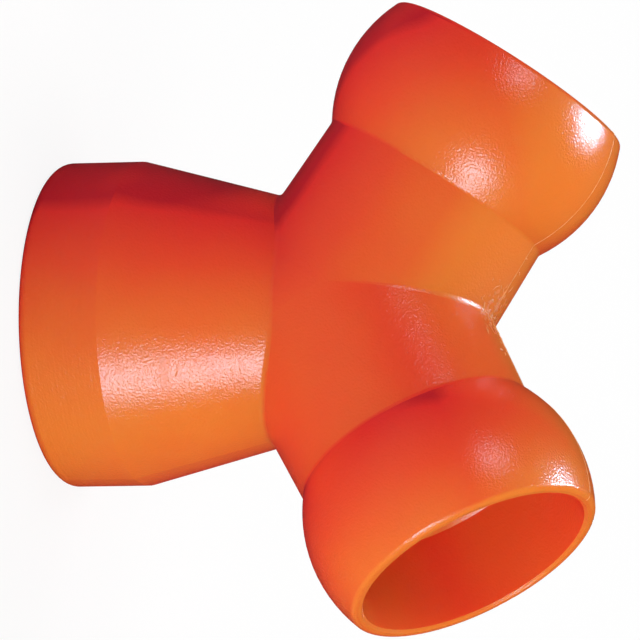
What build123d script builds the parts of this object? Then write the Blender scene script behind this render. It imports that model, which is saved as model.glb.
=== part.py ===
from build123d import *
from math import cos, radians, sin, sqrt, tan
import os

# A Y connector for ball-and-socket hose, moulded in one piece: one socket leg and two ball arms.
# Frame: the socket's rim stands on Z = 0, the main axis is Z, and both arms lie in the XZ plane.
# Lengths are in millimetres and angles in degrees.

# The ball of this hose size, which both arms end in and the socket takes
ball_radius = 16.05
ball_distance = 25.8       # hub to the ball's centre, along the arm
mouth_reach = 6.8          # ball's centre to the flat of the mouth
lip_wall = 1.2             # wall at the mouth, where the ball is cut off

# Necks and the passages inside them
bore_radius = 11.4
neck_wall = 2.7            # measured at the hub
neck_draft = 1.6           # the neck narrows toward its ball
arm_angle = 60.0           # each arm, from the main axis
mouth_depth = 10.4         # widened stretch of the bore inside the ball
mouth_draft = 2.5
mouth_step_angle = 45.0    # slope of the step from the mouth down to the bore

# Socket leg
hub_height = 32.9          # where the three axes meet, above the rim
seat_clearance = 0.1       # seat over the mating ball, in radius
socket_wall = 1.85         # around the widest part of the seat
snap_grip = 0.75           # how far the throat closes in under the seat's radius
throat_height = 1.2        # rim to throat
lead_in = 0.5              # how far the rim opens out beyond the throat
band_height = 9.25         # straight band around the socket
cone_wall = 2.25           # wall where the cone meets the arms

# Rounded edges
rim_round = 1.1
band_round = 0.5
lip_round = 0.8
lip_chamfer = 0.3          # inner edge of the mouth
neck_round = 0.8
crease_round = 0.8

# Sizes that follow from those above
neck_radius = bore_radius + neck_wall
seat_radius = ball_radius + seat_clearance
socket_radius = seat_radius + socket_wall
throat_radius = seat_radius - snap_grip
seat_height = throat_height + sqrt(seat_radius**2 - throat_radius**2)
mouth_distance = ball_distance + mouth_reach
lip_radius = sqrt(ball_radius**2 - mouth_reach**2)
mouth_radius = lip_radius - lip_wall


def half_plane(radius, low, high):
    """The part of a section between two heights, on the positive side of its axis."""
    return Pos(0, low) * Rectangle(radius, high - low, align=(Align.MIN, Align.MIN))


def spin(section):
    """Turn a half-section, drawn as radius and height, into a solid about Z."""
    return revolve(Plane.XZ * section, axis=Axis.Z)


def place_arm(solid):
    """Tilt a solid drawn along Z onto the axis of the arm on the +X side.

    A half turn first puts the solid's seam in the crotch, clear of the blend with the socket leg.
    """
    return Pos(0, 0, hub_height) * Rot(0, arm_angle, 0) * Rot(0, 0, 180) * solid


def round_corners(section, low, high, radius):
    """Round the corners of a half-section that lie off its axis, between two heights."""
    corners = [v for v in section.vertices() if v.X > radius and low < v.Y < high]
    return fillet(corners, radius)


def arm_outside():
    """Ball-ended arm along Z: round hub end, drafted neck, and ball cut off at its mouth."""
    slope = tan(radians(neck_draft))
    hub_radius = neck_radius * cos(radians(neck_draft))
    tangent_height = hub_radius * sin(radians(neck_draft))
    hub_end = Circle(hub_radius) & half_plane(hub_radius, -hub_radius, tangent_height)
    neck = Polygon(
        (0, tangent_height),
        (neck_radius - slope * tangent_height, tangent_height),
        (neck_radius - slope * ball_distance, ball_distance),
        (0, ball_distance),
        align=None,
    )
    ball = Pos(0, ball_distance) * Circle(ball_radius)
    ball &= half_plane(ball_radius, ball_distance - ball_radius, mouth_distance)
    section = hub_end + neck + ball
    section = round_corners(section, tangent_height + neck_round, ball_distance, neck_round)
    section = round_corners(section, ball_distance, mouth_distance + lip_round, lip_round)
    return spin(section)


def arm_inside():
    """Passage of one arm: round hub end, bore, stepped widening, and drafted mouth with its chamfer."""
    step_height = mouth_distance - mouth_depth
    slope = tan(radians(mouth_draft))
    step_radius = mouth_radius - slope * mouth_depth
    step_depth = step_radius / tan(radians(mouth_step_angle))
    bore = Circle(bore_radius) & half_plane(bore_radius, -bore_radius, bore_radius)
    bore += half_plane(bore_radius, 0, mouth_distance)
    mouth = Polygon(
        (0, step_height - step_depth),
        (step_radius, step_height),
        (mouth_radius - slope * lip_chamfer, mouth_distance - lip_chamfer),
        (mouth_radius + lip_chamfer, mouth_distance),
        (0, mouth_distance),
        align=None,
    )
    return spin(bore + mouth)


def socket_outside():
    """Socket leg: straight band, then a cone that runs on into the hub."""
    meeting_height = hub_height - neck_radius / 2
    slope = (socket_radius - bore_radius - cone_wall) / (meeting_height - band_height)
    section = half_plane(socket_radius, 0, band_height)
    section += Polygon(
        (0, band_height),
        (socket_radius, band_height),
        (socket_radius - slope * (hub_height - band_height), hub_height),
        (0, hub_height),
        align=None,
    )
    section = round_corners(section, -rim_round, rim_round, rim_round)
    section = round_corners(section, band_height - band_round, band_height + band_round, band_round)
    return spin(section)


def socket_inside():
    """Passage of the socket leg: lead-in, throat, spherical seat, bore, and round hub end."""
    rim_opening = throat_radius + lead_in
    section = Polygon((0, 0), (rim_opening, 0), (throat_radius, throat_height), (0, throat_height), align=None)
    seat = Pos(0, seat_height) * Circle(seat_radius)
    section += seat & half_plane(seat_radius, throat_height, seat_height + seat_radius)
    section += half_plane(bore_radius, seat_height, hub_height)
    hub_end = Pos(0, hub_height) * Circle(bore_radius)
    section += hub_end & half_plane(bore_radius, hub_height - bore_radius, hub_height + bore_radius)
    return spin(section)


def y_connector():
    """The moulded body: three legs blended outside, and three passages that meet at the hub."""
    right_arm = place_arm(arm_outside())
    left_arm = mirror(right_arm, about=Plane.YZ)
    socket = socket_outside()
    body = right_arm + left_arm + socket
    body = fillet(new_edges(right_arm, left_arm, socket, combined=body), crease_round)

    right_passage = place_arm(arm_inside())
    body -= right_passage
    body -= mirror(right_passage, about=Plane.YZ)
    return body - socket_inside()


body = y_connector()
os.makedirs("parts", exist_ok=True)
export_step(body, "parts/y_connector.step")

box = body.bounding_box()
print("width, depth, height:", [round(length, 2) for length in box.size])
print("volume:", round(body.volume, 1))
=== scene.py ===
# %% [markdown]
# # A Y connector for ball-and-socket hose
# The real fitting is one piece of orange acetal: a flared socket leg and two arms that end in snap
# balls. The CAD model holds its form, so this lesson is about its finish: how a moulded surface takes
# light, what the two halves of the mould leave behind, and how to light and frame a small bright part.
# The frame comes first. Its box is kept, for placing the lamps and for the ridge's headroom.
# Blender works in metres, and the sizes of a small fitting are easier to read in millimetres, so one
# constant turns them.

import math
import random

import bmesh
import bpy
from mathutils import Matrix, Vector


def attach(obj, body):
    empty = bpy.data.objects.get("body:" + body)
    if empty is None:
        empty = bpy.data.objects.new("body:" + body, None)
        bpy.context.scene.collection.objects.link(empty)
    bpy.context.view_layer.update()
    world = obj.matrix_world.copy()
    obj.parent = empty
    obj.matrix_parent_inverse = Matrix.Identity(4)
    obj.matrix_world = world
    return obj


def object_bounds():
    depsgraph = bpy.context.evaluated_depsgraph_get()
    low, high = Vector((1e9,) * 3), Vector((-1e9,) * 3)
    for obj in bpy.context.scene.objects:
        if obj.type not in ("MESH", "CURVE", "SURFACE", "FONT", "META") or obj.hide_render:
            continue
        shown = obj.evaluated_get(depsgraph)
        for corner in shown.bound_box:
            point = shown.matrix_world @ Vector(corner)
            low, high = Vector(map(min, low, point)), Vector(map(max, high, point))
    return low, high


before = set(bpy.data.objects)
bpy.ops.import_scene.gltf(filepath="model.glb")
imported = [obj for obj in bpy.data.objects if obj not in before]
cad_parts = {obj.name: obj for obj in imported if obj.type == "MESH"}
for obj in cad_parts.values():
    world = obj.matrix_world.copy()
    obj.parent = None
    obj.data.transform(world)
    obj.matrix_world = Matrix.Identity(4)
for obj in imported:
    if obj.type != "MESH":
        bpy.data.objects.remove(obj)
cad_low, cad_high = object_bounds()
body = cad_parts["y_connector"]

MM = 0.001
print("CAD box in mm:", [round(side / MM, 1) for side in cad_high - cad_low])

# %% [markdown]
# Shaders work in linear colour, which is hard to judge by eye. Colours are written here as the hex values
# that a paint or plastics chart gives, and one function turns them to linear.

# %% Colours


def linear(hex_colour):
    """An sRGB hex colour as the linear values that shaders work with."""
    channels = [int(hex_colour[i:i + 2], 16) / 255 for i in (1, 3, 5)]
    return [c / 12.92 if c <= 0.04045 else ((c + 0.055) / 1.055) ** 2.4 for c in channels] + [1.0]


print("orange in linear values:", [round(channel, 3) for channel in linear("#F0502D")])

# %% [markdown]
# Materials are built from nodes. Making a node, setting it up and linking it are always the same three
# steps, so one function does them. A short call for each node then reads like a recipe.

# %% Nodes


def add_node(tree, kind, inputs=None, **settings):
    """Adds a node with its settings and links.

    An input takes a number, a colour, a socket, or a node, which stands for its first output.
    """
    node = tree.nodes.new(kind)
    for name, value in settings.items():
        setattr(node, name, value)
    for name, value in (inputs or {}).items():
        if isinstance(value, bpy.types.Node):
            value = value.outputs[0]
        if isinstance(value, bpy.types.NodeSocket):
            tree.links.new(value, node.inputs[name])
        else:
            node.inputs[name].default_value = value
    return node


def new_material(name):
    """A material with an empty node tree, and its output node."""
    material = bpy.data.materials.new(name)
    material.use_nodes = True
    material.node_tree.nodes.clear()
    return material, add_node(material.node_tree, "ShaderNodeOutputMaterial")


acetal, acetal_output = new_material("moulded acetal")
tree = acetal.node_tree
place = add_node(tree, "ShaderNodeTexCoord").outputs["Object"]
print("started material:", acetal.name)

# %% [markdown]
# The lamps and the plastic's colour share two directions, so these come before both. A direction is
# given the way a lamp is set up: how far round the object it stands, and how high.

# %% Two main directions


def direction(azimuth, elevation):
    """A unit vector out from the object. Azimuth 0 is toward -Y and 90 toward +X, in degrees."""
    a, e = math.radians(azimuth), math.radians(elevation)
    return Vector((math.sin(a) * math.cos(e), -math.cos(a) * math.cos(e), math.sin(e)))


FRONT_LAMP = direction(56, 12)
TOP_LAMP = direction(-135, 59)
print("angle between the lamps:", round(math.degrees(FRONT_LAMP.angle(TOP_LAMP))), "degrees")

# %% [markdown]
# ## Moulded acetal: its colour, with painted light and shade
# Acetal is a slightly cloudy plastic, and light goes a few millimetres into it. Subsurface scattering
# gives its shaded sides a little red. The rest of the change from orange to red is painted light and
# shade: a colour ramp goes by how squarely the surface faces the two main lamps, never by where the
# camera is, and paints the sides that face them orange and the sides that face away red. The arms keep
# the top lamp off the leg, so its share fades out below the hub, as a painted shadow. Just past side-on
# the colour is painted redder, as painted shade, and on the back it comes round to orange again.

# %% Acetal: which way the surface faces


def facing(tree, toward):
    """How squarely the surface faces a direction: 1 when it does, and 0 from side-on to away."""
    normal = add_node(tree, "ShaderNodeNewGeometry").outputs["Normal"]
    dot = add_node(tree, "ShaderNodeVectorMath", {0: normal, 1: toward}, operation="DOT_PRODUCT")
    return add_node(tree, "ShaderNodeClamp", {"Value": dot.outputs["Value"]})


PAINTED_SHADOW_FULL = 18 * MM        # painted shadow of the arms: below this height the top lamp's share is all taken off
PAINTED_SHADOW_END = 31 * MM          # above this the painted shadow takes none of it off
PAINTED_EDGE_SHADE = 0.6            # painted shade: redder just past side-on
BACK_LIFT = 0.95            # and that painted shade lifted again, orange on the back
BACK_START, BACK_FULL = 0.35, 0.85      # how squarely it faces +Y where the lift starts and is full

height = add_node(tree, "ShaderNodeSeparateXYZ", {"Vector": place}).outputs["Z"]
# The arms' painted shadow: the top lamp's share of the painted light fades out down the leg.
out_of_painted_shadow = add_node(
    tree, "ShaderNodeMapRange", {"Value": height, "From Min": PAINTED_SHADOW_FULL, "From Max": PAINTED_SHADOW_END},
    interpolation_type="SMOOTHSTEP",
)
# Painted light and shade: how much lamp light the colour ramp paints at each point.
painted_light = add_node(
    tree, "ShaderNodeMath", {0: facing(tree, TOP_LAMP), 1: out_of_painted_shadow, 2: facing(tree, FRONT_LAMP)},
    operation="MULTIPLY_ADD",
)
backward = facing(tree, (0, 1, 0))
on_back = add_node(
    tree, "ShaderNodeMapRange", {"Value": backward, "From Min": BACK_START, "From Max": BACK_FULL},
    interpolation_type="SMOOTHSTEP",
)
# Painted shade just past side-on, taken off again on the back.
for side, share in ((backward, -PAINTED_EDGE_SHADE), (on_back, BACK_LIFT)):
    painted_light = add_node(tree, "ShaderNodeMath", {0: side, 1: share, 2: painted_light}, operation="MULTIPLY_ADD")
print("nodes for the facing:", len(tree.nodes))

# %% [markdown]
# The plastic's colour is never quite even: soft clouds about 6 mm across shift it a little. The ramp
# itself runs from a deep red in painted shade to a light orange in painted light, and it is out of the
# deep red after an eighth of its length.

# %% Acetal: dye and painted light
CLOUD_SIZE = 6 * MM
CLOUD_STRENGTH = 0.12

cloud = add_node(tree, "ShaderNodeTexNoise", {"Vector": place, "Scale": 1 / CLOUD_SIZE, "Detail": 0.0})
cloud = add_node(tree, "ShaderNodeMath", {0: cloud, 1: 0.5}, operation="SUBTRACT")
painted_light = add_node(
    tree, "ShaderNodeMath", {0: cloud, 1: CLOUD_STRENGTH, 2: painted_light}, operation="MULTIPLY_ADD"
)
# The ramp paints this light and shade into the base colour, from deep red to light orange.
dye_and_painted_light = add_node(tree, "ShaderNodeValToRGB", {"Fac": painted_light})
stops = dye_and_painted_light.color_ramp.elements
stops[0].color, stops[1].color = linear("#CB1E2B"), linear("#E97E2F")
for position, colour in ((0.12, "#F2332D"), (0.5, "#F0502D"), (0.8, "#EA6B2D")):
    stops.new(position).color = linear(colour)
print("dye stops:", [round(stop.position, 2) for stop in stops])

# %% [markdown]
# ## Moulded acetal: trimming marks
# Between the arms the flash was trimmed with a knife. The plastic is torn and paler there, and the skin
# around it is scuffed dull. A mark like this is a mask from 0 to 1, placed on the part in millimetres.
# Stretched noise with a sharp threshold gives the torn flakes, and the distance from the crotch between
# the arms fades them out. The masks are used further down, for colour, gloss and relief.

# %% Acetal: torn and scuffed skin
CROTCH = Vector((0, 0, 49.0)) * MM
TEAR_SIZE = 0.7 * MM
TEAR_START, TEAR_FULL = 0.52, 0.62      # values of the noise where a tear starts and is full
TORN_REACH, TORN_CORE = 4.0 * MM, 1.0 * MM          # tears fade out from the core to the reach
SCUFF_REACH, SCUFF_CORE = 10.0 * MM, 3.0 * MM       # and so does the scuffing

stretched = add_node(
    tree, "ShaderNodeMapping", {"Vector": place, "Scale": (1 / TEAR_SIZE, 1 / TEAR_SIZE, 0.5 / TEAR_SIZE)}
)
fibres = add_node(tree, "ShaderNodeTexNoise", {"Vector": stretched, "Scale": 1.0, "Detail": 2.0})
flakes = add_node(
    tree, "ShaderNodeMapRange", {"Value": fibres, "From Min": TEAR_START, "From Max": TEAR_FULL},
    interpolation_type="SMOOTHSTEP",
)
reach = add_node(tree, "ShaderNodeVectorMath", {0: place, 1: CROTCH}, operation="DISTANCE")
near_crotch = add_node(
    tree, "ShaderNodeMapRange",
    {"Value": reach.outputs["Value"], "From Min": TORN_REACH, "From Max": TORN_CORE},
    interpolation_type="SMOOTHSTEP",
)
torn = add_node(tree, "ShaderNodeMath", {0: flakes, 1: near_crotch}, operation="MULTIPLY")
scuffed = add_node(
    tree, "ShaderNodeMapRange",
    {"Value": reach.outputs["Value"], "From Min": SCUFF_REACH, "From Max": SCUFF_CORE},
    interpolation_type="SMOOTHSTEP",
)
print("torn within", round(TORN_REACH / MM, 1), "mm, scuffed within", round(SCUFF_REACH / MM, 1), "mm")

# %% [markdown]
# The mould's cavity for the straight band was turned on a lathe, and the band keeps its fine rings. Such
# rings are about a tenth of a millimetre apart, too fine to show, so they are drawn a quarter apart.
# Noise that is long along X and Y and short along the axis breaks up into rings, with no seam.

# %% Acetal: turned rings
BAND_HEIGHT = 9.25 * MM
BAND_FADE = 1.2 * MM
RING_WIDTH = 0.25 * MM
RING_LENGTH = 14 * RING_WIDTH

on_band = add_node(
    tree, "ShaderNodeMapRange",
    {"Value": height, "From Min": BAND_HEIGHT, "From Max": BAND_HEIGHT - BAND_FADE},
    interpolation_type="SMOOTHSTEP",
)
ring_space = add_node(
    tree, "ShaderNodeMapping",
    {"Vector": place, "Scale": (1 / RING_LENGTH, 1 / RING_LENGTH, 1 / RING_WIDTH)},
)
rings = add_node(tree, "ShaderNodeTexNoise", {"Vector": ring_space, "Scale": 1.0, "Detail": 0.0})
rings = add_node(tree, "ShaderNodeMath", {0: on_band, 1: rings}, operation="MULTIPLY")
print("ring spacing in mm:", RING_WIDTH / MM)

# %% [markdown]
# The cone has a short scratch, and below it a patch that rubbing left duller. A straight mark is all
# the points within a small distance of a line from one end to the other. Six nodes find them: the offset
# from the start, the share of the line that it reaches, that share held between the ends, the nearest
# point, the gap to it, and a smooth fall over the mark's width.

# %% Acetal: scratch and rubbed patch


def near_line(tree, place, start, end, width):
    """1 on a short straight mark, and 0 beyond its width on each side. All lengths are in mm."""
    start, end = Vector(start) * MM, Vector(end) * MM
    along = end - start
    offset = add_node(tree, "ShaderNodeVectorMath", {0: place, 1: start}, operation="SUBTRACT")
    share = add_node(
        tree, "ShaderNodeVectorMath", {0: offset, 1: along / along.length_squared},
        operation="DOT_PRODUCT",
    )
    held = add_node(tree, "ShaderNodeClamp", {"Value": share.outputs["Value"]})
    nearest = add_node(tree, "ShaderNodeVectorMath", {0: along, "Scale": held}, operation="SCALE")
    gap = add_node(tree, "ShaderNodeVectorMath", {0: offset, 1: nearest}, operation="DISTANCE")
    return add_node(
        tree, "ShaderNodeMapRange",
        {"Value": gap.outputs["Value"], "From Min": width * MM, "From Max": 0.0},
        interpolation_type="SMOOTHSTEP",
    )


scratch = near_line(tree, place, start=(7.4, -13.65, 18.37), end=(10.0, -12.3, 17.3), width=0.12)
rubbed = near_line(tree, place, start=(8.6, -13.7, 16.1), end=(11.0, -11.8, 16.0), width=0.9)
print("nodes in the acetal so far:", len(tree.nodes))

# %% [markdown]
# ## Moulded acetal: surface
# The mould was spark-eroded, which pits steel evenly, and the plastic copies the pits as a fine matt
# grain. It is about a quarter of a millimetre across and a few hundredths deep, so a highlight on it
# breaks up into specks. Bump is right for something so fine, and the noise has that real size. The
# plastic under it is fairly smooth, with acetal's IOR of 1.48. Each mark adds its share to the relief
# and to the roughness, and the torn flakes are paler too. Red light walks furthest inside the plastic,
# about 5 mm, and blue the least.

# %% Acetal: surface
GRAIN_SIZE = 0.24 * MM
GRAIN_DEPTH = 0.05 * MM
ACETAL_IOR = 1.48
CLEAN_ROUGHNESS = 0.2
TORN_PALENESS = 0.5
LIGHT_WALK = 5 * MM

relief = add_node(tree, "ShaderNodeTexNoise", {"Vector": place, "Scale": 1 / GRAIN_SIZE, "Detail": 1.0})
for mark, depth in ((rings, 0.5), (torn, 1.0), (scratch, -1.0)):
    relief = add_node(
        tree, "ShaderNodeMath", {0: mark, 1: depth, 2: relief}, operation="MULTIPLY_ADD"
    )
bump = add_node(tree, "ShaderNodeBump", {"Height": relief, "Strength": 1.0, "Distance": GRAIN_DEPTH})

roughness = CLEAN_ROUGHNESS
for mark, more in ((rubbed, 0.12), (torn, 0.1), (scuffed, 0.06)):
    roughness = add_node(
        tree, "ShaderNodeMath", {0: mark, 1: more, 2: roughness}, operation="MULTIPLY_ADD"
    )

# A Mix node takes its two colours at inputs 6 and 7, and gives the mixed one at output 2
paleness = add_node(tree, "ShaderNodeMath", {0: torn, 1: TORN_PALENESS}, operation="MULTIPLY")
colour = add_node(
    tree, "ShaderNodeMix", {"Factor": paleness, 6: dye_and_painted_light, 7: linear("#F4A27A")}, data_type="RGBA"
).outputs[2]

plastic = add_node(
    tree, "ShaderNodeBsdfPrincipled",
    {
        "Base Color": colour,
        "Roughness": roughness,
        "IOR": ACETAL_IOR,
        "Subsurface Weight": 0.35,
        "Subsurface Radius": (1.0, 0.3, 0.1),
        "Subsurface Scale": LIGHT_WALK,
        "Normal": bump,
    },
)
tree.links.new(plastic.outputs["BSDF"], acetal_output.inputs["Surface"])
body.data.materials[0] = acetal
print(acetal.name, "has", len(tree.nodes), "nodes")

# %% [markdown]
# ## Parting line
# The mould has two halves that meet on the plane of the three axes. Where they meet, a little plastic
# is squeezed out and leaves a thin ridge. It shows most between the arms. A cut through the mesh on
# that plane gives the line itself, so the ridge lies on the surface wherever the form goes. Sorting the
# cut by its angle about the hub puts it in order, and a test on each point keeps the outer wall only.

# %% Line between the mould's halves
HUB = Vector((0, 0, 32.9)) * MM
ARM_ANGLE = 60.0
OUTLINE_REACH = 36.9        # degrees from the main axis, to just short of each mouth


def arm_axis(side):
    """Unit vector along an arm: side is 1 for the arm toward +X and -1 for the other."""
    angle = math.radians(ARM_ANGLE)
    return Vector((side * math.sin(angle), 0, math.cos(angle)))


def crotch_outline(mesh_object):
    """Where the mould's two halves met between the arms, in order from one mouth to the other."""
    mesh = bmesh.new()
    mesh.from_mesh(mesh_object.data)
    mesh.normal_update()
    everything = mesh.verts[:] + mesh.edges[:] + mesh.faces[:]
    cut = bmesh.ops.bisect_plane(mesh, geom=everything, plane_co=(0, 0, 0), plane_no=(0, 1, 0))
    outline = []
    for vertex in cut["geom_cut"]:
        if not isinstance(vertex, bmesh.types.BMVert):
            continue
        arm = vertex.co - HUB
        turn = math.atan2(arm.x, arm.z)
        axis = arm_axis(1 if arm.x > 0 else -1)
        out_of_axis = arm - arm.dot(axis) * axis
        normal = sum((face.normal for face in vertex.link_faces), Vector())
        if abs(turn) < math.radians(OUTLINE_REACH) and normal.dot(out_of_axis) > 0 and arm.z > 0:
            outline.append((turn, vertex.co.copy()))
    mesh.free()
    outline.sort(key=lambda entry: entry[0])
    return [point for turn, point in outline]


outline = crotch_outline(body)
length = sum((end - start).length for start, end in zip(outline, outline[1:]))
print("parting line:", len(outline), "points,", round(length / MM, 1), "mm")

# %% [markdown]
# Flash is the same acetal, but so thin that light passes through it and lightens its colour. It was
# torn off, not moulded against steel, so it is rougher and has no grain of its own: to the eye, a pale
# dull thread on the orange.

# %% Acetal flash
flash, flash_output = new_material("acetal flash")
flash_tree = flash.node_tree
FLASH_PATCH = 0.5 * MM
FLASH_ROUGHNESS = 0.4

flash_place = add_node(flash_tree, "ShaderNodeTexCoord").outputs["Object"]
patches = add_node(flash_tree, "ShaderNodeTexNoise", {"Vector": flash_place, "Scale": 1 / FLASH_PATCH})
flash_colour = add_node(flash_tree, "ShaderNodeValToRGB", {"Fac": patches})
thick, thin = flash_colour.color_ramp.elements
thick.position, thin.position = 0.3, 0.7
thick.color, thin.color = linear("#EC8E3C"), linear("#F8B878")
thin_plastic = add_node(
    flash_tree, "ShaderNodeBsdfPrincipled",
    {"Base Color": flash_colour, "Roughness": FLASH_ROUGHNESS, "IOR": ACETAL_IOR},
)
flash_tree.links.new(thin_plastic.outputs["BSDF"], flash_output.inputs["Surface"])
print(flash.name, "has", len(flash_tree.nodes), "nodes")

# %% [markdown]
# A curve with a round bevel makes the ridge. Its radius changes every half millimetre, so the ridge is
# uneven. It is thickest at the crotch. At the lips, the highest points of the fitting, it runs out to
# nothing, so it never stands above the CAD box. The random numbers start from a fixed seed, so every run
# gives the same flash.

# %% Ridge
FLASH_RADIUS = 0.07 * MM
RIDGE_STEP = 0.5 * MM
SWELL_REACH = 3.5 * MM      # how far from the crotch the ridge is still swollen

random.seed(7)
flash_curve = bpy.data.curves.new("parting_line", "CURVE")
flash_curve.dimensions = "3D"
flash_curve.bevel_depth = FLASH_RADIUS
flash_curve.bevel_resolution = 2
flash_curve.materials.append(flash)


def add_strand(points, radii):
    """A strand of flash through these points. A radius of 1 is FLASH_RADIUS."""
    strand = flash_curve.splines.new("POLY")
    strand.points.add(len(points) - 1)
    for point, spot, radius in zip(strand.points, points, radii):
        point.co = (*spot, 1.0)
        point.radius = radius


ridge, ridge_radii = [], []
for start, end in zip(outline, outline[1:]):
    steps = max(1, round((end - start).length / RIDGE_STEP))
    ridge += [start.lerp(end, step / steps) for step in range(steps)]
ridge.append(outline[-1])
for spot in ridge:
    swell = math.exp(-((spot - CROTCH).length / SWELL_REACH) ** 2)
    radius = random.uniform(0.5, 0.9) + swell * random.uniform(0.0, 1.3)
    headroom = (cad_high.z - spot.z) / FLASH_RADIUS
    ridge_radii.append(min(radius, headroom))
add_strand(ridge, ridge_radii)
print("ridge:", len(ridge), "points")

# %% [markdown]
# The knife also left short curled flecks around the crotch. Each is a strand of three points, which
# starts somewhere on the necks, takes a short stride and curls. Its points are dropped onto the nearest
# place on the surface, so it lies there wherever the form bends. It thins out toward both ends.

# %% Flecks
FLECKS = 34
FLECK_SPREAD = 2.8          # mm along the arms from the crotch
FLECK_FRONT, FLECK_BACK = -4.0, 2.5     # mm in front of the parting line and behind it
NECK_RISE = 0.58            # how far a neck climbs for each millimetre out from the crotch

for _ in range(FLECKS):
    along = random.gauss(0, FLECK_SPREAD) * MM
    start = CROTCH + Vector((along, random.uniform(FLECK_FRONT, FLECK_BACK) * MM, abs(along) * NECK_RISE))
    turn = random.uniform(0, math.pi)
    stride = random.uniform(0.15, 0.45) * MM * Vector((math.cos(turn), math.sin(turn), 0.5))
    curl = random.uniform(-0.2, 0.2) * MM * Vector((-math.sin(turn), math.cos(turn), 0))
    spots = [body.closest_point_on_mesh(start + k * stride + k * k * curl)[1] for k in range(3)]
    size = random.uniform(0.5, 1.3)
    add_strand(spots, [0.3 * size, size, 0.2 * size])

parting_line = bpy.data.objects.new("parting_line", flash_curve)
bpy.context.scene.collection.objects.link(parting_line)
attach(parting_line, "root")
print("flash:", len(flash_curve.splines), "strands")

# %% [markdown]
# ## Floor
# A plain pale floor is matt paint. It is close to white to the camera, and still keeps a little of the
# fitting's shadow. A glossy orange surface would mirror so much white as a pink veil on every side
# that turns away from the lamps, so glossy rays see the floor much darker, as if a black cloth lay
# around the fitting.

# %% Floor
FLOOR_WIDTH = 6.0
WHITE_SHARE = 0.88          # how far the floor is plain white to the camera; the rest shows the shadow
PAINT = 0.9                 # how pale the paint is
PAINT_IN_GLOSS = 0.03       # and how pale glossy rays see it

paint, paint_output = new_material("white floor paint")
paint_tree = paint.node_tree
ray = add_node(paint_tree, "ShaderNodeLightPath")
shade = add_node(
    paint_tree, "ShaderNodeMapRange",
    {"Value": ray.outputs["Is Glossy Ray"], "To Min": PAINT, "To Max": PAINT_IN_GLOSS},
)
matt_paint = add_node(paint_tree, "ShaderNodeBsdfDiffuse", {"Color": shade})
white = add_node(paint_tree, "ShaderNodeEmission", {"Color": linear("#FFFFFF"), "Strength": 1.0})
seen = add_node(
    paint_tree, "ShaderNodeMath", {0: ray.outputs["Is Camera Ray"], 1: WHITE_SHARE}, operation="MULTIPLY"
)
floor_look = add_node(paint_tree, "ShaderNodeMixShader", {"Fac": seen, 1: matt_paint, 2: white})
paint_tree.links.new(floor_look.outputs["Shader"], paint_output.inputs["Surface"])

bpy.ops.mesh.primitive_plane_add(size=FLOOR_WIDTH, location=(0, 0, 0))
floor = bpy.context.object
floor.name = "studio_floor"
floor.data.materials.append(paint)
print("floor:", FLOOR_WIDTH, "m wide")

# %% [markdown]
# ## Surroundings
# The world is white to the camera and lights the fitting only softly. It is almost dark to glossy rays,
# for the same reason as the floor.

# %% Surroundings
SOFT_FILL = 0.28            # strength as a light, where 1 is white
GLOSSY_FILL = 0.02          # and as seen by glossy rays

world = bpy.data.worlds.new("studio")
bpy.context.scene.world = world
world.use_nodes = True
world.node_tree.nodes.clear()
ray = add_node(world.node_tree, "ShaderNodeLightPath")
fill = add_node(
    world.node_tree, "ShaderNodeMapRange",
    {"Value": ray.outputs["Is Glossy Ray"], "To Min": SOFT_FILL, "To Max": GLOSSY_FILL},
)
strength = add_node(
    world.node_tree, "ShaderNodeMapRange",
    {"Value": ray.outputs["Is Camera Ray"], "To Min": fill, "To Max": 1.0},
)
sky = add_node(
    world.node_tree, "ShaderNodeBackground", {"Color": linear("#FFFFFF"), "Strength": strength}
)
add_node(world.node_tree, "ShaderNodeOutputWorld", {"Surface": sky})
print("soft fill:", SOFT_FILL)

# %% [markdown]
# ## Lamps
# Two soft boxes light the form: a wide one low in front and one high behind the left arm. Five weak ones
# fill the sides between. A highlight has to be small and bright while the light on the form stays soft,
# and one lamp can't do both, so the highlights have lamps of their own, which only glossy rays see.
# These are slightly blue, so that they stay near white on a plastic that is already full of red.

# %% Lamps
MIDDLE = (cad_low + cad_high) / 2
LAMP_DISTANCE = 0.5         # metres
SHINE_COLOUR = "#C4E4FF"


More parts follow.
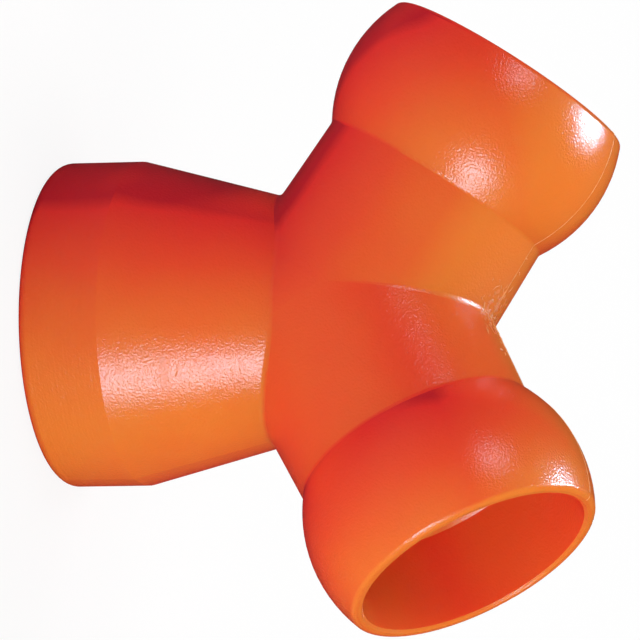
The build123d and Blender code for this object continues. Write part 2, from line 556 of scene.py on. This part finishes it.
def add_lamp(name, toward, width, height, watts, shine=False):
    """A rectangular lamp that faces the object: a soft light, or a shine that only gloss shows.

    Its width and height are in metres.
    """
    lamp = bpy.data.lights.new(name, "AREA")
    lamp.shape = "RECTANGLE"
    lamp.size, lamp.size_y = width, height
    lamp.energy = watts
    lamp.color = linear(SHINE_COLOUR)[:3] if shine else (1, 1, 1)
    holder = bpy.data.objects.new(name, lamp)
    bpy.context.scene.collection.objects.link(holder)
    holder.location = MIDDLE + LAMP_DISTANCE * toward
    holder.rotation_euler = toward.to_track_quat("Z", "Y").to_euler()
    holder.visible_glossy = shine
    holder.visible_diffuse = not shine
    holder.visible_camera = False


add_lamp("front_light", FRONT_LAMP, 0.40, 0.30, 1.03)
add_lamp("top_light", TOP_LAMP, 0.25, 0.25, 1.1)
add_lamp("left_light", direction(-55, 60), 0.20, 0.20, 0.45)
add_lamp("front_fill", direction(18, 17), 0.30, 0.30, 0.25)
add_lamp("right_fill", direction(88, 27), 0.30, 0.30, 0.5)
add_lamp("back_fill", direction(170, 25), 0.30, 0.30, 0.45)
add_lamp("high_fill", direction(30, 70), 0.30, 0.30, 0.1)
add_lamp("front_shine", direction(58, 11), 0.22, 0.19, 2.0, shine=True)
add_lamp("top_shine", direction(-156, 62), 0.14, 0.14, 4.0, shine=True)
add_lamp("left_shine", direction(-40, 44), 0.12, 0.12, 0.45, shine=True)
print("light in watts:", round(sum(lamp.energy for lamp in bpy.data.lights), 2))

# %% [markdown]
# ## Camera
# A long lens from more than a metre away keeps the three legs in proportion. The fitting stands on its
# socket, but it is shown lying on its side, so the camera is rolled by nearly a quarter turn.

# %% Camera
LENS = 590.7                # mm
SENSOR = 36.0               # mm
DISTANCE = 1.1689           # metres
VIEW = direction(17.824, 17.393)
AIM = Vector((-2.588, 7.955, 26.703)) * MM
ROLL = math.radians(88.872)

camera_data = bpy.data.cameras.new("camera")
camera_data.lens = LENS
camera_data.sensor_width = SENSOR
camera = bpy.data.objects.new("camera", camera_data)
bpy.context.scene.collection.objects.link(camera)
level = VIEW.to_track_quat("Z", "Y").to_matrix()
turned = level @ Matrix.Rotation(ROLL, 3, "Z")
camera.matrix_world = Matrix.Translation(AIM + DISTANCE * VIEW) @ turned.to_4x4()
bpy.context.scene.camera = camera
bpy.context.scene.view_settings.view_transform = "Standard"
print("camera at", [round(c, 3) for c in camera.matrix_world.translation])
